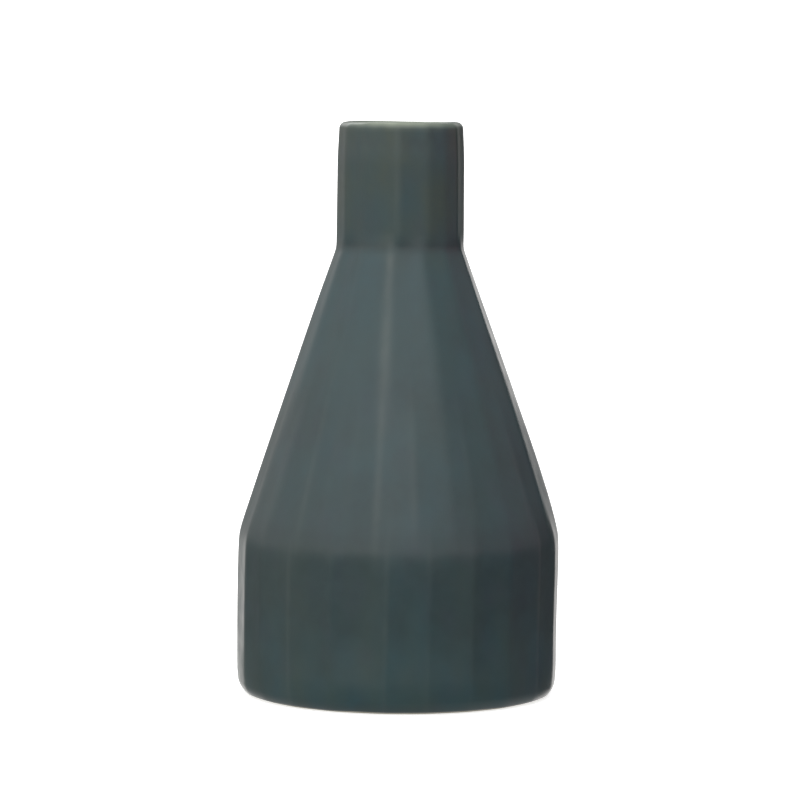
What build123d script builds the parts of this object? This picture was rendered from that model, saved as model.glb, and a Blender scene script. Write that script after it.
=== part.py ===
from build123d import *
from math import acos, cos, degrees, radians, sin, sqrt, tan
import os

# A faceted stoneware bottle vase: a drum, a long cone and a short neck, in one piece of clay that
# is coated with glaze. Millimetres. Z is up, the vase stands on z = 0 and its front faces -Y.
# An angle goes round the vase in degrees from the front, 0 at -Y and 90 at +X.

# Overall shape of the fired clay
HEIGHT = 203.0            # to the highest point of the glazed lip
DRUM_FOOT_R = 56.65       # the drum opens very slightly upwards
DRUM_TOP_R = 57.1
FOOT_TUCK = 0.7           # how far the drum draws in just above the foot
FOOT_FACETS = 0.35        # facets are this much as deep at the foot as higher up
SHOULDER_Z = 58.0         # where the drum's and the cone's lines would meet
CONE_FOOT_R = 56.85
CONE_SLOPE = tan(radians(19.0))
CONE_SWELL = 0.6          # how far the cone bellies out half way up
NECK_Z = 159.0            # where the cone's and the neck's lines would meet
NECK_R = 22.3
NECK_TAPER = 0.1          # how much the neck narrows upwards
LIP_TUCK = 0.6            # how far the neck draws in just below the lip
SHOULDER_ROUNDING = 1.1   # how softly the drum turns into the cone
NECK_ROUNDING = 0.4
FOOT_CORNER_R = 5.0
AXIS_FOOT_X = -0.3        # the vase was thrown by hand, so its sections aren't quite centred
AXIS_SHOULDER_X = 0.33
AXIS_NECK_X = -0.45
LIP_WAVE = 0.1            # the lip is uneven by twice this

# Walls, foot and glaze
WALL_DRUM = 4.6
WALL_NECK = 3.6
FLOOR_Z = 7.5
FLOOR_CORNER_R = 8.0
INNER_SOFTNESS = 0.6      # facets are this much as deep inside as outside
GLAZE_OUT = 0.5
GLAZE_IN = 0.4
GLAZE_FOOT_LINE = 0.9     # bare clay shows below this height
GLAZE_MOUTH_LINE = 191.0  # inside the mouth, the outer glaze meets the liner at this height
RECESS_R = 46.5
RECESS_DEPTH = 2.0
RECESS_SLOPE = 1.5        # the recess is this much narrower at its ceiling
GLAZE_UNDER = 0.4
LIP_Z = HEIGHT - GLAZE_OUT - WALL_NECK / 2   # centre of the lip's rounding

# Where each zone's ridges stand, in degrees round the vase. They were paddled by hand, so the
# facets' widths differ, the ridges of two zones rarely meet, and about half as many ridges run up
# the top of the cone and the neck as start at the cone's foot.
DRUM_RIDGES = [-89, -70, -56, -41, -24.5, -4.5, 10.5, 27, 43, 59.5, 74,
               95, 113, 130, 147, 163.5, 181, 199, 216, 233, 251]
CONE_FOOT_RIDGES = [-88, -69, -54, -38.5, -29, -20, -9, 5, 19.5, 28.5, 42.5, 56, 69.5,
                    86, 102, 118, 135, 151, 168, 185, 202, 219, 236, 254]
CONE_TOP_RIDGES = [-88, -63.5, -38, -8.5, 20, 43, 70.5, 96, 122, 149, 176, 203, 232]
NECK_RIDGES = [-87, -58.5, -38, -2.5, 25.5, 43, 60.5, 87.5, 110, 132, 156, 184, 212, 243]

# Heights over which one zone's facets fade into the next zone's, and into the rounder foot
FOOT_FADE = (0, 26)
SHOULDER_FADE = (44, 74)
CONE_FADE = (80, 130)
NECK_FADE = (154, 165)
LIP_FADE = (191, 201)
LIP_TUCK_FADE = (188, 206)

# Heights over which the sections drift from one centre to the next
DRUM_DRIFT = (20, 75)
CONE_DRIFT = (85, 150)

# Section heights up the wall, closer together where the wall turns and towards both ends
WALL_HEIGHTS = [6, 7.4, 10, 14.5, 22, 31, 39, 45, 49.5, 52.5, 55, 57, 59, 61, 63.5, 67, 73, 82, 92,
                104, 116, 128, 138, 145, 150, 154, 157, 160, 163, 167, 173, 180, 186.5, 191.5, 195,
                197.3, 199, 200]
MOUTH_STEPS = 5           # sections from the lip down to the mouth line
COLUMNS = 180             # points round each section
CORNER_STEP = 15          # degrees between sections round a rounded corner


def fade(value, low, high):
    """0 below low, 1 above high and a smooth change between."""
    t = min(max((value - low) / (high - low), 0), 1)
    return t * t * (3 - 2 * t)


def soft_min(a, b, rounding):
    """The smaller of a and b, with the corner between them rounded."""
    return (a + b - sqrt((a - b) ** 2 + rounding ** 2)) / 2


def facet_factor(angle, ridges):
    """Radius of the polygon that has its corners, the ridges, on the unit circle."""
    turned = (angle - ridges[0]) % 360 + ridges[0]
    for low, high in zip(ridges, ridges[1:] + [ridges[0] + 360]):
        if turned <= high:
            return cos(radians(high - low) / 2) / cos(radians(turned - (low + high) / 2))


def facets(angle, z):
    """How far the facets pull the wall in from the round, at this angle and height."""
    drum, cone_foot, cone_top, neck = (
        facet_factor(angle, ridges)
        for ridges in (DRUM_RIDGES, CONE_FOOT_RIDGES, CONE_TOP_RIDGES, NECK_RIDGES))
    lower = drum + (cone_foot - drum) * fade(z, *SHOULDER_FADE)
    upper = cone_top + (neck - cone_top) * fade(z, *NECK_FADE)
    full = lower + (upper - lower) * fade(z, *CONE_FADE)
    depth = FOOT_FACETS + (1 - FOOT_FACETS) * fade(z, *FOOT_FADE)
    return 1 - depth * (1 - full)


def clay_radius(z):
    """Radius of the clay over the ridges, before the foot corner and the lip are rounded."""
    drum = DRUM_FOOT_R + (DRUM_TOP_R - DRUM_FOOT_R) * z / SHOULDER_Z
    drum -= FOOT_TUCK * (1 - fade(z, 0, 2 * FOOT_CORNER_R))
    up_cone = min(max((z - SHOULDER_Z) / (NECK_Z - SHOULDER_Z), 0), 1)
    cone = CONE_FOOT_R - CONE_SLOPE * (z - SHOULDER_Z) + CONE_SWELL * sin(radians(180 * up_cone))
    neck = NECK_R - NECK_TAPER * fade(z, NECK_Z, HEIGHT) - LIP_TUCK * fade(z, *LIP_TUCK_FADE)
    body = soft_min(drum, cone, SHOULDER_ROUNDING)
    return -soft_min(-body, -neck, NECK_ROUNDING)


def axis_x(z):
    """Centre of the section at this height."""
    drum = AXIS_FOOT_X + (AXIS_SHOULDER_X - AXIS_FOOT_X) * fade(z, *DRUM_DRIFT)
    return drum + (AXIS_NECK_X - AXIS_SHOULDER_X) * fade(z, *CONE_DRIFT)


def lip_lift(angle, z):
    """The hand-made unevenness of the lip, which fades out down the neck."""
    return LIP_WAVE * (cos(radians(3 * angle + 40)) - 1) * fade(z, *LIP_FADE)


def wall_thickness(z):
    return WALL_DRUM + (WALL_NECK - WALL_DRUM) * fade(z, SHOULDER_Z, NECK_Z)


def section(z, inset, softness=1.0):
    """One closed section of the wall, inset from the clay's outside."""
    points = []
    for column in range(COLUMNS):
        angle = 360 * column / COLUMNS
        radius = (clay_radius(z) - inset) * (1 - softness * (1 - facets(angle, z)))
        x = axis_x(z) + radius * sin(radians(angle))
        y = -radius * cos(radians(angle))
        points.append((x, y, z + lip_lift(angle, z)))
    # every section has the same parameters, so the columns line up from foot to lip
    parameters = [column / COLUMNS for column in range(COLUMNS + 1)]
    return Wire([Edge.make_spline(points, periodic=True, parameters=parameters)])


def turns(first, last):
    """Angles of the sections round a rounded corner, both ends included."""
    steps = max(round(abs(last - first) / CORNER_STEP), 1)
    return [first + (last - first) * step / steps for step in range(steps + 1)]


def foot_corner(coat, first_z=None, last_z=None):
    """Sections round the corner between the underside and the drum, between two heights."""
    reach = FOOT_CORNER_R + coat
    first, last = (
        default if z is None else degrees(acos((FOOT_CORNER_R - z) / reach))
        for z, default in ((first_z, 0), (last_z, 90)))
    return [section(FOOT_CORNER_R - reach * cos(radians(turn)),
                    FOOT_CORNER_R - reach * sin(radians(turn)))
            for turn in turns(first, last)]


def outside(coat_out, coat_in):
    """Sections from the top of the foot corner up the outside and over the rounded lip."""
    sections = [section(z, -coat_out) for z in [FOOT_CORNER_R] + WALL_HEIGHTS]
    middle = WALL_NECK / 2
    for turn in turns(0, 180):
        across = cos(radians(turn))
        inset = middle - middle * across - (coat_out if across > 0 else coat_in) * across
        z = LIP_Z + (middle + coat_out) * sin(radians(turn))
        sections.append(section(z, inset, 1 - (1 - INNER_SOFTNESS) * turn / 180))
    return sections


def mouth(coat):
    """Sections down the inside from the lip to the mouth line."""
    drop = (LIP_Z - GLAZE_MOUTH_LINE) / MOUTH_STEPS
    return [section(LIP_Z - drop * step, WALL_NECK + coat, INNER_SOFTNESS)
            for step in range(MOUTH_STEPS + 1)]


def inside(coat):
    """Sections from the mouth line down the inside to the edge of the floor."""
    corner_z = FLOOR_Z + FLOOR_CORNER_R
    heights = [z for z in reversed(WALL_HEIGHTS) if corner_z < z < GLAZE_MOUTH_LINE]
    sections = [section(z, wall_thickness(z) + coat, INNER_SOFTNESS)
                for z in [GLAZE_MOUTH_LINE] + heights]
    reach = FLOOR_CORNER_R - coat
    for turn in turns(90, 0):
        z = corner_z - reach * cos(radians(turn))
        inset = wall_thickness(z) + FLOOR_CORNER_R - reach * sin(radians(turn))
        sections.append(section(z, inset, INNER_SOFTNESS))
    return sections


def lower_rim(skin):
    """The lower of a skin's two closed edges."""
    return Wire([skin.edges().filter_by(lambda edge: edge.is_closed).sort_by(Axis.Z)[0]])


def flat(outer, *inner):
    """The flat face within one closed edge and outside any others."""
    return Face(outer, inner)


def closed(*pieces):
    """A solid from skins and flat faces that meet edge to edge."""
    faces = [face for piece in pieces for face in piece.faces()]
    return Solid(Shell(faces))


def recess(bottom, top):
    """The hollow under the foot, which narrows upwards, between two heights."""
    def radius(z):
        return RECESS_R - RECESS_SLOPE * z / RECESS_DEPTH
    return Pos(AXIS_FOOT_X, 0, (bottom + top) / 2) * Cone(radius(bottom), radius(top), top - bottom)


# The skins, each shared exactly by the pieces on either side of it
clay_foot = Shell.make_loft(foot_corner(0, last_z=GLAZE_FOOT_LINE))
clay_corner = Shell.make_loft(foot_corner(0, first_z=GLAZE_FOOT_LINE))
clay_outside = Shell.make_loft(outside(0, 0))
clay_mouth = Shell.make_loft(mouth(0))
clay_inside = Shell.make_loft(inside(0))
glaze_corner = Shell.make_loft(foot_corner(GLAZE_OUT, first_z=GLAZE_FOOT_LINE))
glaze_outside = Shell.make_loft(outside(GLAZE_OUT, GLAZE_IN))
glaze_mouth = Shell.make_loft(mouth(GLAZE_IN))
glaze_inside = Shell.make_loft(inside(GLAZE_IN))

# The flat faces that close them off
clay_bottom = flat(lower_rim(clay_foot))
clay_floor = flat(lower_rim(clay_inside))
glaze_floor = flat(lower_rim(glaze_inside))
foot_step = flat(lower_rim(glaze_corner), lower_rim(clay_corner))
mouth_step = flat(lower_rim(clay_mouth), lower_rim(glaze_mouth))

clay = closed(clay_bottom, clay_foot, clay_corner, clay_outside, clay_mouth, clay_inside, clay_floor)
nodes = {
    "clay_body": clay - recess(-RECESS_DEPTH, RECESS_DEPTH),
    "outer_glaze": closed(foot_step, glaze_corner, glaze_outside, glaze_mouth,
                          mouth_step, clay_mouth, clay_outside, clay_corner),
    "inner_glaze": closed(mouth_step, glaze_inside, glaze_floor, clay_floor, clay_inside),
    "underside_glaze": recess(RECESS_DEPTH - GLAZE_UNDER, RECESS_DEPTH),
}

os.makedirs("parts", exist_ok=True)
for name, shape in nodes.items():
    export_step(shape, f"parts/{name}.step")
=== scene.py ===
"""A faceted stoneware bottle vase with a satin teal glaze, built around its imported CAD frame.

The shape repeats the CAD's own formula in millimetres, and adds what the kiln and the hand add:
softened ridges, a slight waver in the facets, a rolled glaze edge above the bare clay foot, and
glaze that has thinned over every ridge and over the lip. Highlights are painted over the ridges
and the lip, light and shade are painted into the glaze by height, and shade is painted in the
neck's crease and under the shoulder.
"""
import math

import bpy
import numpy as np
from mathutils import Matrix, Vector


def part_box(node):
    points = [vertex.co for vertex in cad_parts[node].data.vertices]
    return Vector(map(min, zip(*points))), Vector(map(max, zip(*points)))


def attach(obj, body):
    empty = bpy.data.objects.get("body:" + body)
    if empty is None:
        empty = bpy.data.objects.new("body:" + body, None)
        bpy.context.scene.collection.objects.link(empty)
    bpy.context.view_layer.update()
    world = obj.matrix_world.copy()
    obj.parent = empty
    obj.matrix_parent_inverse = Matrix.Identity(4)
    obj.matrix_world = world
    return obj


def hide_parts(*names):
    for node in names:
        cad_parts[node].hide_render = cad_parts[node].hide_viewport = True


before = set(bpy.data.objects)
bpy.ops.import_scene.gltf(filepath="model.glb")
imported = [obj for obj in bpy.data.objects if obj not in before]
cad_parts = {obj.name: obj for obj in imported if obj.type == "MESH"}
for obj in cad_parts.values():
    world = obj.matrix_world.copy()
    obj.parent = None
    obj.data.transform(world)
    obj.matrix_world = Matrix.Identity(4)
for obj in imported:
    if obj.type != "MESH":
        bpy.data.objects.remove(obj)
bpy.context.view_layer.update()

MM = 0.001


def box_mm(node):
    """The lowest and highest corner of a CAD node, in millimetres."""
    low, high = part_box(node)
    return low / MM, high / MM


# ---------------------------------------------------------------------------------------------
# Dimensions, in millimetres. What the frame can say is read from it; the rest is the CAD's own.
# Angles go round the vase in degrees from the front: 0 is -Y and 90 is +X.
# ---------------------------------------------------------------------------------------------
GLAZE_FOOT_LINE = box_mm("outer_glaze")[0].z
FLOOR_Z = box_mm("inner_glaze")[0].z
GLAZE_MOUTH_LINE = box_mm("inner_glaze")[1].z
GLAZE_UNDER_Z, RECESS_DEPTH = (corner.z for corner in box_mm("underside_glaze"))

HEIGHT = 203.0            # to the highest point of the glazed lip
DRUM_FOOT_R = 56.65       # the drum opens very slightly upwards
DRUM_TOP_R = 57.1
FOOT_TUCK = 0.7           # how far the drum draws in just above the foot
FOOT_FACETS = 0.35        # facets are this much as deep at the foot as higher up
SHOULDER_Z = 58.0         # where the drum's and the cone's lines would meet
CONE_FOOT_R = 56.85
CONE_SLOPE = math.tan(math.radians(19.0))
CONE_SWELL = 0.6          # how far the cone bellies out half way up
NECK_Z = 159.0            # where the cone's and the neck's lines would meet
NECK_R = 22.3
NECK_TAPER = 0.1          # how much the neck narrows upwards
LIP_TUCK = 0.6            # how far the neck draws in just below the lip
SHOULDER_ROUNDING = 1.1   # how softly the drum turns into the cone
NECK_ROUNDING = 0.4
FOOT_CORNER_R = 5.0
AXIS_FOOT_X = -0.3        # the sections aren't quite centred
AXIS_SHOULDER_X = 0.33
AXIS_NECK_X = -0.45
LIP_WAVE = 0.1            # the lip is uneven by twice this, in these lobes
LIP_LOBES = 3
LIP_LOBE_PHASE = 40       # degrees
WALL_DRUM = 4.6
WALL_NECK = 3.6
FLOOR_CORNER_R = 8.0
INNER_SOFTNESS = 0.6      # facets are this much as deep inside as outside
GLAZE_OUT = 0.5
GLAZE_IN = 0.4
GLAZE_UNDER = RECESS_DEPTH - GLAZE_UNDER_Z
RECESS_R = 46.5
RECESS_SLOPE = 1.5        # the recess is this much narrower at its ceiling
LIP_Z = HEIGHT - GLAZE_OUT - WALL_NECK / 2   # centre of the lip's rounding

# Where each zone's ridges stand, in degrees round the vase
DRUM_RIDGES = [-89, -70, -56, -41, -24.5, -4.5, 10.5, 27, 43, 59.5, 74,
               95, 113, 130, 147, 163.5, 181, 199, 216, 233, 251]
CONE_FOOT_RIDGES = [-88, -69, -54, -38.5, -29, -20, -9, 5, 19.5, 28.5, 42.5, 56, 69.5,
                    86, 102, 118, 135, 151, 168, 185, 202, 219, 236, 254]
CONE_TOP_RIDGES = [-88, -63.5, -38, -8.5, 20, 43, 70.5, 96, 122, 149, 176, 203, 232]
NECK_RIDGES = [-87, -58.5, -38, -2.5, 25.5, 43, 60.5, 87.5, 110, 132, 156, 184, 212, 243]

# Heights over which one zone's facets fade into the next zone's, and into the rounder foot
FOOT_FADE = (0, 26)
SHOULDER_FADE = (44, 74)
CONE_FADE = (80, 130)
NECK_FADE = (154, 165)
LIP_FADE = (191, 201)
LIP_TUCK_FADE = (188, 206)

# Heights over which the sections drift from one centre to the next
DRUM_DRIFT = (20, 75)
CONE_DRIFT = (85, 150)

# ---------------------------------------------------------------------------------------------
# What the glaze and the hand add to the CAD's facets, and the light and shade painted on the glaze
# ---------------------------------------------------------------------------------------------
RIDGE_SOFTNESS = (1.0, 1.7, 3.0, 3.2)     # degrees, on the drum, cone foot, cone top and neck
RIDGE_LINE_WIDTH = (0.7, 1.2, 2.5, 2.5)   # degrees that a ridge's pale line takes up
FAINT_LINE = 0.06         # how pale most ridges are, out of 1: thinned glaze, and a painted highlight
STRONG_LINES = (          # and the paler ones, where more highlight is painted, by the ridge's angle, in the same four zones
    {-41: 0.2, -4.5: 0.2, 10.5: 0.12, 27: 0.1, 59.5: 0.3, 113: 0.3, 181: 0.35, 233: 0.3},
    {-38.5: 0.3, -9: 0.5, 5: 0.25, 28.5: 0.12, 118: 0.4, 185: 0.3, 236: 0.4},
    {-38: 0.12, -8.5: 1.0, 122: 0.6, 203: 0.5},
    {-2.5: 0.3, 110: 0.3, 212: 0.3})
PAINTED_LIGHT_BY_HEIGHT = (              # painted light and shade by height, out of 1: paler near the foot, where light from the floor is painted, darkest just under the shoulder, and paler again up the cone and neck
    (0, 0.95), (12, 0.95), (22, 0.7), (34, 0.15), (50, 0.0), (56, 0.0), (61, 0.1), (68, 0.25),
    (95, 0.3), (115, 0.6), (140, 0.85), (156, 0.8), (162, 0.85), (203, 0.95))
OLIVE = (                 # and how olive it has turned
    (0, 0.6), (30, 0.35), (62, 0.15), (150, 0.2), (165, 0.8), (203, 1.0))
FACET_HOLLOW = 1.12       # the facets are this much deeper than flat ones
WANDER_DEG = 0.7          # how far a ridge strays round the vase as it climbs
UNEVEN_MM = 0.12          # the most that the uneven surface falls inside the CAD's
FOOT_LINE_WAVER = 0.25
MOUTH_LINE_WAVER = 0.4
BEAD_MM = 0.7             # height of the rolled edge in which a coat of glaze ends
UNDER_EDGE_MM = 0.8       # width of the same edge under the vase
LINER_EDGE_MM = 2.0       # depth over which the liner's upper edge is made of finer rows
EDGE_RADIUS = 0.5         # on the foot ring's inner edge
TUCK = 0.03               # how far a coat's hidden side reaches into the clay

LIP_PALE = (199.5, 203.2)     # heights over which the glaze pales towards the lip: thinned glaze, and a painted highlight on its rounded top
LIP_PALING = 1.7          # a power: above 1, most of the change comes near the top
LIP_PALE_MEAN = 0.62      # the lip is palest, with the most painted highlight, in front and behind
LIP_PALE_SWING = 0.38
LIP_PALE_PHASE = 4        # degrees
LIP_PALE_RAGGED = 0.12    # how far the pale part's edge wanders up and down
LIP_DARK_BAND = (196.5, 2.6)   # height and spread of the darker patches below the lip
LIP_DARK_BAND_RAGGED = 1.6
# Painted shade in the neck's crease and just under the shoulder: height and spread
NECK_CREASE_SHADE = (NECK_Z + 0.8, 1.8)
SHOULDER_SHADE = (SHOULDER_Z + 2.5, 3.5)
SHOULDER_SHADE_DEPTH = 0.7     # out of 1
BAND_AND_SHADE_OFF_RIDGES = 0.8     # how much of the darker patches and painted shade is taken off over the ridges

# Seeded unevenness: (seed, how many waves, most lobes round the vase, most radians per mm of height)
SURFACE_WAVES = (8, 14, 9, 0.09)
WANDER_WAVES = (3, 9, 5, 0.05)
FOOT_LINE_WAVES = (21, 9, 16, 0)
MOUTH_LINE_WAVES = (22, 7, 9, 0)
RAGGED_WAVES = (31, 12, 24, 0)
PATCHY_WAVES = (33, 9, 7, 0.15)

COLUMNS = 600             # vertices round the outer glaze
HIDDEN_COLUMNS = 240      # round the clay, the liner and the underside's glaze
TABLE_STEP = 0.1          # degrees between the samples in the facet tables
FOOT_BUNCHING = 1.6       # powers by which the rows gather towards the outer glaze's edges
MOUTH_BUNCHING = 1.5
WALL_STEPS = (            # heights up the outer wall, each with the rows' spacing from there on
    (FOOT_CORNER_R, 3.2), (48, 1.1), (66, 4), (150, 1.0), (166, 3), (188, 1.3), (LIP_Z, 0))


# ---------------------------------------------------------------------------------------------
# The shape
# ---------------------------------------------------------------------------------------------
def fade(value, low, high):
    """0 below low, 1 above high and a smooth change between."""
    t = np.clip((np.asarray(value, float) - low) / (high - low), 0, 1)
    return t * t * (3 - 2 * t)


def soft_min(a, b, rounding):
    return (a + b - np.sqrt((a - b) ** 2 + rounding ** 2)) / 2


def facet_table(ridges, softness):
    """Radius of a polygon with its corners on the unit circle, all the way round, softened."""
    angles = np.arange(0, 360, TABLE_STEP)
    corners = np.array(ridges + [ridges[0] + 360], float)
    turned = (angles - ridges[0]) % 360 + ridges[0]
    side = np.clip(np.searchsorted(corners, turned, side="right") - 1, 0, len(ridges) - 1)
    low, high = corners[side], corners[side + 1]
    factor = np.cos(np.radians(high - low) / 2) / np.cos(np.radians(turned - (low + high) / 2))
    spread = np.minimum(angles, 360 - angles)
    kernel = np.exp(-(spread / softness) ** 2 / 2)
    kernel /= kernel.sum()
    return np.real(np.fft.ifft(np.fft.fft(factor) * np.fft.fft(kernel)))


def line_table(ridges, width, strong):
    """How pale the ridges and their sides are, all the way round: thinned glaze and painted
    highlight.
    """
    angles = np.arange(0, 360, TABLE_STEP)
    off = (angles[:, None] - np.array(ridges, float)[None, :] + 180) % 360 - 180
    strength = np.array([strong.get(ridge, FAINT_LINE) for ridge in ridges])
    return (strength * np.exp(-(off / width) ** 2 / 2)).max(axis=1)


ALL_RIDGES = (DRUM_RIDGES, CONE_FOOT_RIDGES, CONE_TOP_RIDGES, NECK_RIDGES)
FACET_TABLES = [facet_table(*pair) for pair in zip(ALL_RIDGES, RIDGE_SOFTNESS)]
LINE_TABLES = [line_table(*row) for row in zip(ALL_RIDGES, RIDGE_LINE_WIDTH, STRONG_LINES)]


def zoned(angle, z, zone_tables):
    """Read the tables of the drum, the cone's foot and top and the neck, blended by height."""
    where = np.arange(0, 360, TABLE_STEP)
    drum, cone_foot, cone_top, neck = (
        np.interp(angle % 360, where, table, period=360) for table in zone_tables)
    lower = drum + (cone_foot - drum) * fade(z, *SHOULDER_FADE)
    upper = cone_top + (neck - cone_top) * fade(z, *NECK_FADE)
    return lower + (upper - lower) * fade(z, *CONE_FADE)


def clay_radius(z):
    """Radius of the clay over the ridges, before the foot corner and the lip are rounded."""
    drum = DRUM_FOOT_R + (DRUM_TOP_R - DRUM_FOOT_R) * z / SHOULDER_Z
    drum = drum - FOOT_TUCK * (1 - fade(z, 0, 2 * FOOT_CORNER_R))
    up_cone = np.clip((z - SHOULDER_Z) / (NECK_Z - SHOULDER_Z), 0, 1)
    cone = CONE_FOOT_R - CONE_SLOPE * (z - SHOULDER_Z) + CONE_SWELL * np.sin(np.pi * up_cone)
    neck = NECK_R - NECK_TAPER * fade(z, NECK_Z, HEIGHT) - LIP_TUCK * fade(z, *LIP_TUCK_FADE)
    body = soft_min(drum, cone, SHOULDER_ROUNDING)
    return -soft_min(-body, -neck, NECK_ROUNDING)


def axis_x(z):
    """How far off centre the hand-made wall is, sideways."""
    drum = AXIS_FOOT_X + (AXIS_SHOULDER_X - AXIS_FOOT_X) * fade(z, *DRUM_DRIFT)
    return drum + (AXIS_NECK_X - AXIS_SHOULDER_X) * fade(z, *CONE_DRIFT)


def lip_lift(angle, z):
    lobes = np.cos(np.radians(LIP_LOBES * angle + LIP_LOBE_PHASE))
    return LIP_WAVE * (lobes - 1) * fade(z, *LIP_FADE)


def wall_thickness(z):
    return WALL_DRUM + (WALL_NECK - WALL_DRUM) * fade(z, SHOULDER_Z, NECK_Z)


def waves(angle, z, seed, count, lobes, per_mm):
    """Smooth seeded unevenness, mostly between -1 and 1 and the same after a full turn."""
    draw = np.random.default_rng(seed)
    total = np.zeros(np.broadcast(angle, z).shape)
    for _ in range(count):
        turns, climb = draw.integers(0, lobes + 1), draw.uniform(-per_mm, per_mm)
        total += np.cos(np.radians(turns * angle) + climb * z + draw.uniform(0, 2 * math.pi))
    return total / (1.6 * math.sqrt(count))


def level_waves(angle, kind):
    """Unevenness that depends on the angle alone."""
    return waves(angle, 0 * angle, *kind)


def strayed(angle, z):
    """The angle, shifted by as much as the ridges wander at this height."""
    return angle + WANDER_DEG * waves(angle, z, *WANDER_WAVES)


def column_angles(columns):
    return np.linspace(-180, 180, columns, endpoint=False)[None, :]


def rows_of(z, inset, softness, columns):
    """Vertices in millimetres, a row for each height, inset from the outside of the clay."""
    angle = column_angles(columns)
    z, inset, softness = (np.asarray(v, float) for v in (z, inset, softness))
    z, inset, softness = (v[:, None] if v.ndim == 1 else v for v in (z, inset, softness))
    depth = softness * FACET_HOLLOW * (FOOT_FACETS + (1 - FOOT_FACETS) * fade(z, *FOOT_FADE))
    factor = 1 - depth * (1 - zoned(strayed(angle, z), z, FACET_TABLES))
    uneven = UNEVEN_MM * (np.clip(waves(angle, z, *SURFACE_WAVES), -1, 1) - 1) / 2
    radius = (clay_radius(z) - inset + uneven) * factor
    x = axis_x(z) + radius * np.sin(np.radians(angle))
    y = -radius * np.cos(np.radians(angle))
    return np.stack([x, y, z + lip_lift(angle, z)], axis=-1)


def wall_rows(z, inset, columns):
    """Vertices up the outer wall at one inset."""
    return rows_of(z, np.full(len(z), inset), np.ones(len(z)), columns)


def round_rows(z, radius, columns):
    """Plain circles about the foot's axis."""
    angle = np.radians(column_angles(columns))
    z, radius = (np.asarray(v, float)[:, None] for v in (z, radius))
    x = AXIS_FOOT_X + radius * np.sin(angle)
    return np.stack([x, -radius * np.cos(angle), z + 0 * angle], axis=-1)


# ---------------------------------------------------------------------------------------------
# The profile, in stretches of rows. A coat below 0 is the hidden side, tucked into the clay.
# ---------------------------------------------------------------------------------------------
def stretch(*stops):
    """Heights along a wall: (height, step from here on), ..., (last height, 0)."""
    out = []
    for (low, step), (high, _) in zip(stops, stops[1:]):
        count = max(int(round(abs(high - low) / step)), 1)
        out.extend(np.linspace(low, high, count, endpoint=False))
    return np.array(out + [stops[-1][0]])


def outside_heights(coarse):
    """Heights up the outer wall, this many times as far apart as on the finest mesh."""
    return stretch(*((height, step * coarse) for height, step in WALL_STEPS))


def bead(distance, coat):
    """Thickness of a coat at a distance from its rolled edge."""
    if coat < 0:
        return np.full(np.shape(distance), coat)
    return coat * np.sqrt(1 - (1 - np.clip(distance / BEAD_MM, 0, 1)) ** 2)


def foot_line(columns):
    """Height of the glaze's lower edge, all the way round."""
    waver = np.clip(level_waves(column_angles(columns), FOOT_LINE_WAVES), -1, 1)
    return GLAZE_FOOT_LINE + FOOT_LINE_WAVER * (waver + 1) / 2


def mouth_line(columns):
    """Height at which the outer glaze and the liner meet inside the mouth."""
    waver = np.clip(level_waves(column_angles(columns), MOUTH_LINE_WAVES), -1, 1)
    return GLAZE_MOUTH_LINE - MOUTH_LINE_WAVER * (waver + 1) / 2


def foot_rows(coat, rows, columns):
    """Round the foot's corner, from the glaze's lower edge to the drum."""
    first = np.arccos((FOOT_CORNER_R - foot_line(columns)) / FOOT_CORNER_R)
    part = (np.arange(rows)[:, None] / rows) ** FOOT_BUNCHING
    turn = first + (math.pi / 2 - first) * part
    reach = FOOT_CORNER_R + bead((turn - first) * FOOT_CORNER_R, coat)
    z = FOOT_CORNER_R - reach * np.cos(turn)
    return rows_of(z, FOOT_CORNER_R - reach * np.sin(turn), np.ones(rows), columns)


def lip_rows(coat_out, coat_in, rows, columns):
    """Over the rounded lip, from the outside to the inside."""
    turn = np.radians(np.linspace(0, 180, rows + 1))
    middle = WALL_NECK / 2
    coat = np.where(turn < math.pi / 2, coat_out, coat_in)
    z = LIP_Z + (middle + coat_out) * np.sin(turn)
    softness = 1 + (INNER_SOFTNESS - 1) * turn / math.pi
    return rows_of(z, middle - (middle + coat) * np.cos(turn), softness, columns)


def mouth_rows(coat, rows, columns):
    """Down inside the mouth, from the lip to the line where the glazes meet."""
    line = mouth_line(columns)
    part = 1 - (np.arange(1, rows + 1)[:, None] / rows)
    z = line + (LIP_Z - line) * part ** MOUTH_BUNCHING
    return rows_of(z, WALL_NECK + bead(z - line, coat), np.full(rows, INNER_SOFTNESS), columns)


def liner_top_rows(coat, columns):
    """Down from the line where the glazes meet, to where the liner has its full thickness."""
    line = mouth_line(columns)
    below = np.array([0, 0.03, 0.1, 0.22, 0.4, 0.7, 1.2])[:, None]
    z = line - below
    inset = wall_thickness(z) + bead(below, coat)
    return rows_of(z, inset, np.full(len(below), INNER_SOFTNESS), columns)


def inside_rows(first_z, coat, step, corner_rows, columns):
    """Down the inside wall and round the corner to the edge of the floor."""
    corner_z = FLOOR_Z + FLOOR_CORNER_R
    z = stretch((first_z, step), (corner_z, 0))
    turn = np.radians(np.linspace(90, 0, corner_rows + 1))[1:]
    reach = FLOOR_CORNER_R - coat
    inset = np.concatenate([np.full(len(z), coat), FLOOR_CORNER_R - reach * np.sin(turn)])
    z = np.concatenate([z, corner_z - reach * np.cos(turn)])
    softness = INNER_SOFTNESS * np.clip((z - FLOOR_Z) / (2 * FLOOR_CORNER_R), 0, 1)
    return rows_of(z, wall_thickness(z) + inset, softness, columns)


def to_pole(ring, rings, centre_first=False):
    """Rings shrinking from this one to a point at its centre."""
    centre = ring.mean(axis=0)
    part = np.linspace(1, 0, rings + 1)[1:-1, None, None]
    shrunk = centre + (ring - centre) * part
    return (shrunk[::-1] if centre_first else shrunk), centre


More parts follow.
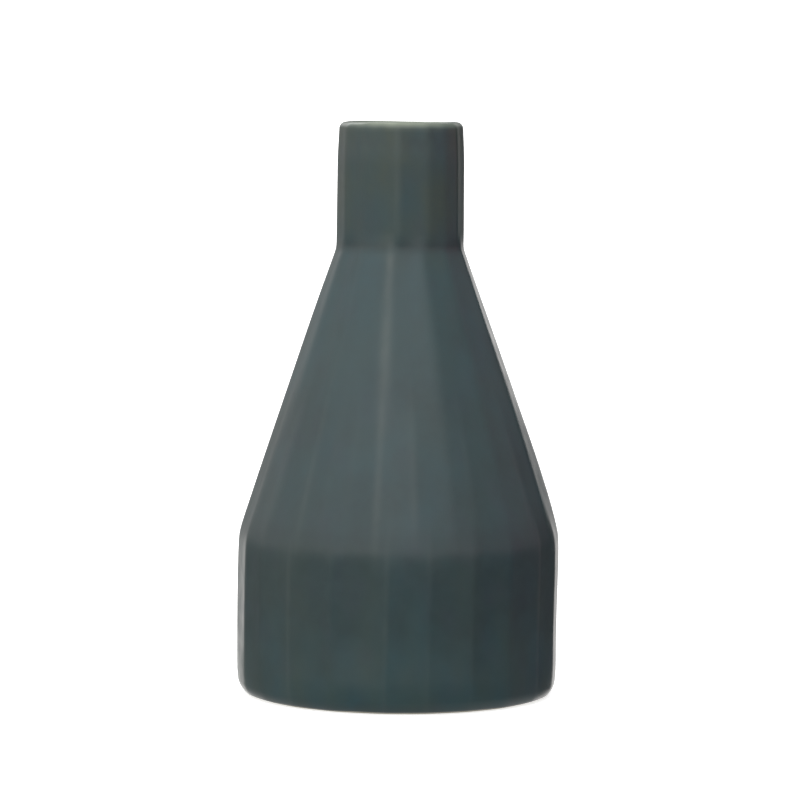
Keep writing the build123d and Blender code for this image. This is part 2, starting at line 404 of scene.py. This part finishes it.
# ---------------------------------------------------------------------------------------------
# Meshes
# ---------------------------------------------------------------------------------------------
def build(name, stretches, node, first_pole=None, last_pole=None, ring=False):
    """A closed piece from rows of vertices, which end in points or are sewn into a ring."""
    rows = np.concatenate(stretches)
    count, columns = rows.shape[:2]
    grid = np.arange(count * columns).reshape(count, columns)
    if ring:
        grid = np.concatenate([grid, grid[:1]])
    nxt = np.roll(grid, -1, axis=1)
    quads = np.stack([grid[:-1], nxt[:-1], nxt[1:], grid[1:]], axis=-1).reshape(-1, 4).tolist()
    points = rows.reshape(-1, 3)
    fans = []
    if first_pole is not None:
        fans += [(len(points), b, a) for a, b in zip(grid[0].tolist(), nxt[0].tolist())]
        points = np.vstack([points, first_pole])
    if last_pole is not None:
        fans += [(len(points), a, b) for a, b in zip(grid[-1].tolist(), nxt[-1].tolist())]
        points = np.vstack([points, last_pole])
    mesh = bpy.data.meshes.new(name)
    mesh.from_pydata((points * MM).tolist(), [], quads + fans)
    mesh.validate()
    mesh.polygons.foreach_set("use_smooth", [True] * len(mesh.polygons))
    piece = bpy.data.objects.new(name, mesh)
    bpy.context.scene.collection.objects.link(piece)
    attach(piece, "root")
    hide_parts(node)
    return piece


def paint(piece, name, values):
    """Keep a number for each vertex, for the material to read."""
    layer = piece.data.attributes.new(name, "FLOAT", "POINT")
    full = np.zeros(len(piece.data.vertices))
    full[:values.size] = values.ravel()
    layer.data.foreach_set("value", full)


def band_at(z, height, spread):
    """1 at a height, fading out above and below it."""
    return np.exp(-((z - height) / spread) ** 2)


def make_outer_glaze():
    stretches = [
        foot_rows(GLAZE_OUT, rows=14, columns=COLUMNS),
        wall_rows(outside_heights(1)[:-1], -GLAZE_OUT, COLUMNS),
        lip_rows(GLAZE_OUT, GLAZE_IN, rows=18, columns=COLUMNS),
        mouth_rows(GLAZE_IN, rows=10, columns=COLUMNS),
        mouth_rows(-TUCK, rows=4, columns=COLUMNS)[::-1],
        lip_rows(-TUCK, -TUCK, rows=8, columns=COLUMNS)[::-1],
        wall_rows(outside_heights(4)[:-1], TUCK, COLUMNS)[::-1],
        foot_rows(-TUCK, rows=5, columns=COLUMNS)[::-1],
    ]
    piece = build("outer_glaze_coat", stretches, "outer_glaze", ring=True)
    z = np.concatenate(stretches)[..., 2]
    angle = np.broadcast_to(column_angles(COLUMNS), z.shape)
    # Pale ridge lines: thinned glaze, and painted highlights
    ridge = zoned(strayed(angle, z), z, LINE_TABLES)
    ragged = level_waves(angle, RAGGED_WAVES)
    # The lip's thinned glaze and painted highlight, strongest in front and behind
    palest = LIP_PALE_MEAN + LIP_PALE_SWING * np.cos(np.radians(2 * angle + LIP_PALE_PHASE))
    lip = palest * fade(z + LIP_PALE_RAGGED * ragged, *LIP_PALE) ** LIP_PALING
    patchy = np.clip(0.5 + waves(angle, z, *PATCHY_WAVES), 0, 1)
    # Darker patches below the lip, and painted shade in the neck's crease and under the shoulder
    lip_band_and_painted_shade = patchy * band_at(z + LIP_DARK_BAND_RAGGED * ragged, *LIP_DARK_BAND) + band_at(z, *NECK_CREASE_SHADE)
    lip_band_and_painted_shade += SHOULDER_SHADE_DEPTH * band_at(z, *SHOULDER_SHADE)
    paint(piece, "ridge", ridge)
    # Painted light and shade by height
    paint(piece, "painted_light_by_height", np.interp(z, *zip(*PAINTED_LIGHT_BY_HEIGHT)))
    paint(piece, "olive", np.interp(z, *zip(*OLIVE)))
    paint(piece, "lip", lip)
    paint(piece, "lip_band_and_painted_shade", lip_band_and_painted_shade * (1 - BAND_AND_SHADE_OFF_RIDGES * ridge))
    return piece


def make_clay():
    ceiling_r = RECESS_R - RECESS_SLOPE
    ceiling_edge = round_rows([RECESS_DEPTH], [ceiling_r], HIDDEN_COLUMNS)[0]
    ceiling, pole = to_pole(ceiling_edge, rings=6, centre_first=True)
    turn = np.radians(np.linspace(15, 90, 6))     # round the foot ring's inner edge
    edge_z = np.concatenate([[RECESS_DEPTH, RECESS_DEPTH / 2], EDGE_RADIUS * (1 - np.sin(turn))])
    edge_r = np.concatenate([[ceiling_r, RECESS_R - RECESS_SLOPE / 2],
                             RECESS_R + EDGE_RADIUS * (1 - np.cos(turn))])
    corner = np.radians(np.linspace(0, 90, 14))[:-1]      # and round its outer corner
    corner_z = FOOT_CORNER_R * (1 - np.cos(corner))
    corner_inset = FOOT_CORNER_R * (1 - np.sin(corner))
    inside = inside_rows(LIP_Z, coat=0, step=6, corner_rows=5, columns=HIDDEN_COLUMNS)
    floor, floor_pole = to_pole(inside[-1], rings=5)
    stretches = [
        ceiling,
        round_rows(edge_z, edge_r, HIDDEN_COLUMNS),
        rows_of(corner_z, corner_inset, np.ones(len(corner)), HIDDEN_COLUMNS),
        wall_rows(outside_heights(2)[:-1], 0, HIDDEN_COLUMNS),
        lip_rows(0, 0, rows=12, columns=HIDDEN_COLUMNS),
        inside[1:],
        floor,
    ]
    return build("clay_vessel", stretches, "clay_body",
                 first_pole=pole, last_pole=floor_pole)


def make_liner():
    top = GLAZE_MOUTH_LINE - LINER_EDGE_MM
    hidden = inside_rows(top, -TUCK, step=7, corner_rows=4, columns=HIDDEN_COLUMNS)
    under, under_pole = to_pole(hidden[-1], rings=5, centre_first=True)
    shown = inside_rows(top, GLAZE_IN, step=2.2, corner_rows=12, columns=HIDDEN_COLUMNS)
    floor, floor_pole = to_pole(shown[-1], rings=14)
    stretches = [
        under,
        hidden[::-1],
        liner_top_rows(-TUCK, HIDDEN_COLUMNS)[:1],
        liner_top_rows(GLAZE_IN, HIDDEN_COLUMNS),
        shown,
        floor,
    ]
    return build("liner_coat", stretches, "inner_glaze",
                 first_pole=under_pole, last_pole=floor_pole)


def make_underside_glaze():
    outer_r = RECESS_R - RECESS_SLOPE - TUCK
    turn = np.radians(np.linspace(0, 90, 7))
    edge_z = RECESS_DEPTH - GLAZE_UNDER * np.cos(turn)
    edge = round_rows(edge_z, outer_r - UNDER_EDGE_MM * (1 - np.sin(turn)), HIDDEN_COLUMNS)
    shown, pole = to_pole(edge[0], rings=12, centre_first=True)
    top = round_rows([RECESS_DEPTH + TUCK], [outer_r], HIDDEN_COLUMNS)
    hidden, hidden_pole = to_pole(top[0], rings=4)
    return build("underside_glaze_coat", [shown, edge, top, hidden], "underside_glaze",
                 first_pole=pole, last_pole=hidden_pole)


# ---------------------------------------------------------------------------------------------
# Materials, with linear colours
# ---------------------------------------------------------------------------------------------
# The glaze's colour runs between these two by random clouds and by the painted light and shade by
# height
DARK_CLOUD_AND_SHADE_GLAZE = (0.0045, 0.0220, 0.0262)
PALE_CLOUD_AND_LIT_GLAZE = (0.0072, 0.0352, 0.0425)
OLIVE_GLAZE = (0.020, 0.036, 0.026)
VIOLET_GLAZE = (0.015, 0.024, 0.038)
MOTTLED_GLAZE = (0.0095, 0.031, 0.0335)
# Darker patches below the lip, and painted shade in the neck's crease and under the shoulder
BAND_AND_SHADE_GLAZE = (0.003, 0.014, 0.017)
# Pale ridge lines: thinned glaze, and painted highlights
RIDGE_BREAK_AND_HIGHLIGHT_GLAZE = (0.075, 0.092, 0.086)
# Pale lip: thinned glaze, and a painted highlight
LIP_BREAK_AND_HIGHLIGHT_GLAZE = (0.215, 0.245, 0.185)
GLAZE_ROUGHNESS = (0.282, 0.34)

DARK_LINER = (0.010, 0.031, 0.033)
PALE_LINER = (0.018, 0.042, 0.043)
MOTTLED_LINER = (0.007, 0.020, 0.022)
LINER_ROUGHNESS = (0.30, 0.42)

DARK_CLAY = (0.325, 0.32, 0.262)
PALE_CLAY = (0.415, 0.405, 0.34)
SANDY_CLAY = (0.30, 0.275, 0.235)
IRON_SPECK = (0.13, 0.09, 0.06)
CLAY_ROUGHNESS = (0.74, 0.9)

FLOOR_GREY = (0.86, 0.86, 0.86, 1)
WHITE = (1, 1, 1, 1)


class Nodes:
    """A node tree with short ways to add to it."""

    def __init__(self, tree):
        self.nodes = tree.nodes
        self.links = tree.links

    def calc(self, operation, a, b=0.0):
        node = self.nodes.new("ShaderNodeMath")
        node.operation = operation
        for socket, value in zip(node.inputs, (a, b)):
            if isinstance(value, (int, float)):
                socket.default_value = value
            else:
                self.links.new(value, socket)
        return node.outputs["Value"]

    def ramp(self, position, stops):
        """A colour ramp from (place from 0 to 1, colour) stops."""
        node = self.nodes.new("ShaderNodeValToRGB")
        elements = node.color_ramp.elements
        elements[0].position, elements[-1].position = stops[0][0], stops[-1][0]
        elements[0].color, elements[-1].color = (*stops[0][1], 1), (*stops[-1][1], 1)
        for place, color in stops[1:-1]:
            elements.new(place).color = (*color, 1)
        self.links.new(position, node.inputs["Fac"])
        return node.outputs["Color"]


class Shader(Nodes):
    """A Principled material."""

    def __init__(self, name):
        self.material = bpy.data.materials.new(name)
        self.material.use_nodes = True
        super().__init__(self.material.node_tree)
        self.bsdf = self.nodes["Principled BSDF"]
        self.place = self.nodes.new("ShaderNodeTexCoord").outputs["Object"]

    def set(self, **values):
        for name, value in values.items():
            self.bsdf.inputs[name.replace("_", " ")].default_value = value

    def noise(self, size_mm, detail, roughness=0.5, stretch_z=1.0):
        """Noise from 0 to 1, whose features are about this size."""
        node = self.nodes.new("ShaderNodeTexNoise")
        node.inputs["Scale"].default_value = 1 / (size_mm * MM)
        node.inputs["Detail"].default_value = detail
        node.inputs["Roughness"].default_value = roughness
        place = self.place
        if stretch_z != 1.0:
            mapping = self.nodes.new("ShaderNodeMapping")
            mapping.inputs["Scale"].default_value = (1, 1, 1 / stretch_z)
            self.links.new(self.place, mapping.inputs["Vector"])
            place = mapping.outputs["Vector"]
        self.links.new(place, node.inputs["Vector"])
        return node.outputs["Fac"]

    def specks(self, size_mm, radius):
        """1 inside scattered round specks and 0 elsewhere."""
        node = self.nodes.new("ShaderNodeTexVoronoi")
        node.inputs["Scale"].default_value = 1 / (size_mm * MM)
        node.inputs["Randomness"].default_value = 1.0
        self.links.new(self.place, node.inputs["Vector"])
        return self.spread(node.outputs["Distance"], radius, radius * 0.5)

    def attribute(self, name):
        node = self.nodes.new("ShaderNodeAttribute")
        node.attribute_name = name
        return node.outputs["Fac"]

    def spread(self, value, low, high, to_low=0.0, to_high=1.0):
        """Take a range of a value to another range, and no further."""
        node = self.nodes.new("ShaderNodeMapRange")
        node.inputs["From Min"].default_value = low
        node.inputs["From Max"].default_value = high
        node.inputs["To Min"].default_value = to_low
        node.inputs["To Max"].default_value = to_high
        self.links.new(value, node.inputs["Value"])
        return node.outputs["Result"]

    def mix(self, factor, a, b):
        node = self.nodes.new("ShaderNodeMix")
        node.data_type = "RGBA"
        self.links.new(factor, node.inputs["Factor"])
        for socket, value in ((node.inputs["A"], a), (node.inputs["B"], b)):
            if isinstance(value, tuple):
                socket.default_value = (*value, 1)
            else:
                self.links.new(value, socket)
        return node.outputs["Result"]

    def tint(self, color, where, share, other):
        """Mix another colour in, by this share where the factor is 1."""
        return self.mix(self.calc("MULTIPLY", where, share), color, other)

    def bump(self, height, depth_mm):
        node = self.nodes.new("ShaderNodeBump")
        node.inputs["Distance"].default_value = depth_mm * MM
        self.links.new(height, node.inputs["Height"])
        return node.outputs["Normal"]

    def finish(self, color, roughness, normal):
        self.links.new(color, self.bsdf.inputs["Base Color"])
        self.links.new(roughness, self.bsdf.inputs["Roughness"])
        self.links.new(normal, self.bsdf.inputs["Normal"])
        return self.material


def teal_glaze():
    """Satin dark teal glaze: clouded, thinned and with painted highlights over the ridges and the
    lip, and with painted light and shade by height and in the neck's crease.
    """
    shader = Shader("satin_teal_glaze")
    shader.set(IOR=1.5, Specular_IOR_Level=0.5)
    clouds = shader.noise(17, detail=3, roughness=0.55, stretch_z=1.3)
    cloud = shader.spread(clouds, 0.3, 0.7, -0.55, 0.55)
    # Painted light and shade by height, with random clouds
    color = shader.mix(shader.calc("ADD", shader.attribute("painted_light_by_height"), cloud), DARK_CLOUD_AND_SHADE_GLAZE, PALE_CLOUD_AND_LIT_GLAZE)
    olive = shader.spread(shader.noise(13, detail=2, stretch_z=2.5), 0.35, 0.65)
    color = shader.tint(color, olive, shader.attribute("olive"), OLIVE_GLAZE)
    violet = shader.spread(shader.noise(11, detail=2, stretch_z=1.5), 0.5, 0.75)
    color = shader.tint(color, violet, 0.3, VIOLET_GLAZE)
    mottle = shader.spread(shader.noise(3.4, detail=1), 0.2, 0.8)
    color = shader.tint(color, mottle, 0.45, MOTTLED_GLAZE)
    # Darker patches below the lip, and painted shade in the neck's crease and under the shoulder
    color = shader.tint(color, shader.attribute("lip_band_and_painted_shade"), 0.35, BAND_AND_SHADE_GLAZE)
    worn = shader.spread(shader.noise(14, detail=2), 0.3, 0.7, 0.4, 1.0)
    # Pale ridge lines: thinned glaze, and painted highlights
    ridge_break_and_highlight = shader.calc("MULTIPLY", shader.attribute("ridge"), worn)
    color = shader.tint(color, ridge_break_and_highlight, 0.55, RIDGE_BREAK_AND_HIGHLIGHT_GLAZE)
    # Pale lip: thinned glaze, and a painted highlight on its rounded top
    color = shader.tint(color, shader.attribute("lip"), 0.9, LIP_BREAK_AND_HIGHLIGHT_GLAZE)
    roughness = shader.spread(shader.noise(7, detail=1), 0.3, 0.7, *GLAZE_ROUGHNESS)
    peel = shader.bump(shader.noise(1.8, detail=2), depth_mm=0.012)
    return shader.finish(color, roughness, peel)


def liner_glaze():
    """The same glaze, thinner and more even, inside and under the vase."""
    shader = Shader("thin_teal_liner_glaze")
    shader.set(IOR=1.5, Specular_IOR_Level=0.5)
    cloud = shader.spread(shader.noise(14, detail=4, roughness=0.6), 0.35, 0.65)
    color = shader.mix(cloud, DARK_LINER, PALE_LINER)
    mottle = shader.spread(shader.noise(2.2, detail=3, roughness=0.6), 0.35, 0.7)
    color = shader.tint(color, mottle, 0.4, MOTTLED_LINER)
    roughness = shader.spread(shader.noise(6, detail=4, roughness=0.6), 0.3, 0.7, *LINER_ROUGHNESS)
    peel = shader.bump(shader.noise(1.3, detail=2), depth_mm=0.02)
    return shader.finish(color, roughness, peel)


def stoneware():
    """Bare fired clay with sand in it and a few iron specks."""
    shader = Shader("bare_stoneware")
    shader.set(IOR=1.5, Specular_IOR_Level=0.25)
    cloud = shader.spread(shader.noise(8, detail=4, roughness=0.6), 0.3, 0.7)
    color = shader.mix(cloud, DARK_CLAY, PALE_CLAY)
    grain = shader.spread(shader.noise(0.4, detail=3, roughness=0.7), 0.35, 0.65)
    color = shader.tint(color, grain, 0.3, SANDY_CLAY)
    color = shader.tint(color, shader.specks(2.4, radius=0.1), 0.8, IRON_SPECK)
    roughness = shader.spread(grain, 0, 1, *CLAY_ROUGHNESS)
    sand = shader.bump(shader.noise(0.3, detail=3, roughness=0.7), depth_mm=0.03)
    return shader.finish(color, roughness, sand)


# ---------------------------------------------------------------------------------------------
# The vase
# ---------------------------------------------------------------------------------------------
outer_glaze = make_outer_glaze()
clay = make_clay()
liner = make_liner()
underside = make_underside_glaze()

outer_glaze.data.materials.append(teal_glaze())
clay.data.materials.append(stoneware())
thin_glaze = liner_glaze()
liner.data.materials.append(thin_glaze)
underside.data.materials.append(thin_glaze)


# ---------------------------------------------------------------------------------------------
# Stage, light and camera
# ---------------------------------------------------------------------------------------------
# The room's brightness round the vase: (angle, light from low down, from the vase's own level and
# from high up). A big soft light stands in front and to the left, softboxes hang over it and over
# the left of the back, the right is dim, and a narrow white strip stands behind on the right.
ROOM_LIGHT = (
    (-180, 0.9, 0.05, 0.5),
    (-165, 1.8, 0.38, 1.5),
    (-150, 0.5, 0.5, 3.2),
    (-135, 0.3, 0.6, 1.7),
    (-120, 0.3, 0.85, 1.2),
    (-90, 0.7, 1.45, 1.4),
    (-60, 0.59, 1.8, 1.75),
    (-30, 0.53, 2.0, 1.7),
    (0, 0.46, 1.75, 1.95),
    (30, 0.4, 1.65, 1.45),
    (60, 0.34, 1.15, 1.08),
    (90, 0.27, 0.75, 0.85),
    (120, 0.25, 0.5, 0.72),
    (135, 0.1, 0.1, 0.5),
    (150, 0.1, 0.0, 0.3),
    (158, 1.7, 1.2, 0.4),
    (166, 1.8, 2.0, 0.5),
    (174, 0.5, 0.4, 0.5))
AROUND, LOW_LIGHT, LEVEL_LIGHT, HIGH_LIGHT = zip(*ROOM_LIGHT)
UNDER_LIGHT = (0.7,) * len(AROUND)
TOP_LIGHT = (1.5,) * len(AROUND)

# How much of each light comes from these elevations, in degrees
UNDER_RISE = ((-90, 1), (-40, 1), (-15, 0), (90, 0))
LOW_RISE = ((-90, 0), (-40, 0), (-22, 0.75), (-14, 1.25), (-7, 0.85), (0, 0), (90, 0))
LEVEL_RISE = ((-90, 0), (-6, 0), (0, 1), (6, 1), (26, 0), (90, 0))
HIGH_RISE = ((-90, 0), (6, 0), (26, 0.95), (31, 1), (37, 1.22), (50, 1.22), (70, 0), (90, 0))
TOP_RISE = ((-90, 0), (50, 0), (70, 1), (90, 1))

# The low and level light takes on the colour of the room at these angles
TINT = ((-180, (0.98, 0.97, 0.95)), (-60, (1.0, 0.94, 0.88)), (0, (0.97, 0.97, 0.96)),
        (50, (1.0, 0.88, 0.88)), (120, (1.0, 0.62, 0.72)), (150, (0.99, 0.95, 0.93)),
        (180, (0.98, 0.97, 0.95)))
MOST_LIGHT = 4.0          # a ramp's colours end at 1, so brightness goes through it divided by this

FLOOR_GLOW = 0.6
FLOOR_REACH = 60.0        # metres

CAMERA_PLACE = (-0.00003, -1.45, 0.225)
CAMERA_DOWN_DEG = 4.755
CAMERA_ROLL_DEG = 0.5
LENS_MM = 184.5
SENSOR_MM = 36


def studio_world():
    """Soft light by direction. The camera itself sees plain white beyond the floor."""
    world = bpy.data.worlds.new("studio")
    world.use_nodes = True
    tree = Nodes(world.node_tree)
    split = tree.nodes.new("ShaderNodeSeparateXYZ")
    direction = tree.nodes.new("ShaderNodeTexCoord").outputs["Generated"]
    tree.links.new(direction, split.inputs["Vector"])
    backwards = tree.calc("MULTIPLY", split.outputs["Y"], -1)
    turn = tree.calc("DIVIDE", tree.calc("ARCTAN2", split.outputs["X"], backwards), 2 * math.pi)
    turn = tree.calc("ADD", turn, 0.5)
    rise = tree.calc("DIVIDE", tree.calc("ARCSINE", split.outputs["Z"]), math.pi)
    rise = tree.calc("ADD", rise, 0.5)

    def brightness(*lights):
        total = 0.0
        for around, up in lights:
            by_turn = [((angle + 180) / 360, (value / MOST_LIGHT,) * 3)
                       for angle, value in zip(AROUND + (180,), around + around[:1])]
            by_rise = [((angle + 90) / 180, (value / MOST_LIGHT,) * 3) for angle, value in up]
            light = tree.calc("MULTIPLY", tree.ramp(turn, by_turn), tree.ramp(rise, by_rise))
            total = tree.calc("ADD", total, tree.calc("MULTIPLY", light, MOST_LIGHT ** 2))
        return total

    plain = brightness((UNDER_LIGHT, UNDER_RISE), (HIGH_LIGHT, HIGH_RISE), (TOP_LIGHT, TOP_RISE))
    tinted = brightness((LOW_LIGHT, LOW_RISE), (LEVEL_LIGHT, LEVEL_RISE))
    seen = tree.nodes.new("ShaderNodeLightPath").outputs["Is Camera Ray"]
    white = tree.nodes["Background"]
    white.inputs["Color"].default_value = WHITE
    tree.links.new(tree.calc("MAXIMUM", plain, seen), white.inputs["Strength"])
    room = tree.nodes.new("ShaderNodeBackground")
    tint = [((angle + 180) / 360, color) for angle, color in TINT]
    tree.links.new(tree.ramp(turn, tint), room.inputs["Color"])
    tree.links.new(tinted, room.inputs["Strength"])
    both = tree.nodes.new("ShaderNodeAddShader")
    tree.links.new(white.outputs["Background"], both.inputs[0])
    tree.links.new(room.outputs["Background"], both.inputs[1])
    tree.links.new(both.outputs["Shader"], tree.nodes["World Output"].inputs["Surface"])
    bpy.context.scene.world = world


def make_floor():
    """A wide plain floor that glows a little, so that it stays pale without a hard light.

    The vase doesn't reflect it: the light from under and low down stands in for it.
    """
    shader = Shader("pale_floor")
    shader.set(Base_Color=FLOOR_GREY, Roughness=0.9, Specular_IOR_Level=0.0,
               Emission_Color=WHITE, Emission_Strength=FLOOR_GLOW)
    mesh = bpy.data.meshes.new("floor")
    corners = [(x * FLOOR_REACH, y * FLOOR_REACH, 0) for x, y in ((-1, -1), (1, -1), (1, 1), (-1, 1))]
    mesh.from_pydata(corners, [], [(0, 1, 2, 3)])
    mesh.materials.append(shader.material)
    plane = bpy.data.objects.new("floor", mesh)
    plane.visible_glossy = False
    plane.visible_diffuse = False
    bpy.context.scene.collection.objects.link(plane)


def make_camera():
    data = bpy.data.cameras.new("camera")
    data.lens = LENS_MM
    data.sensor_width = SENSOR_MM
    camera = bpy.data.objects.new("camera", data)
    camera.location = CAMERA_PLACE
    turn = (Matrix.Rotation(math.radians(90 - CAMERA_DOWN_DEG), 4, "X")
            @ Matrix.Rotation(math.radians(CAMERA_ROLL_DEG), 4, "Z"))
    camera.rotation_euler = turn.to_euler()
    bpy.context.scene.collection.objects.link(camera)
    bpy.context.scene.camera = camera


make_floor()
studio_world()
make_camera()
bpy.context.scene.view_settings.view_transform = "Standard"
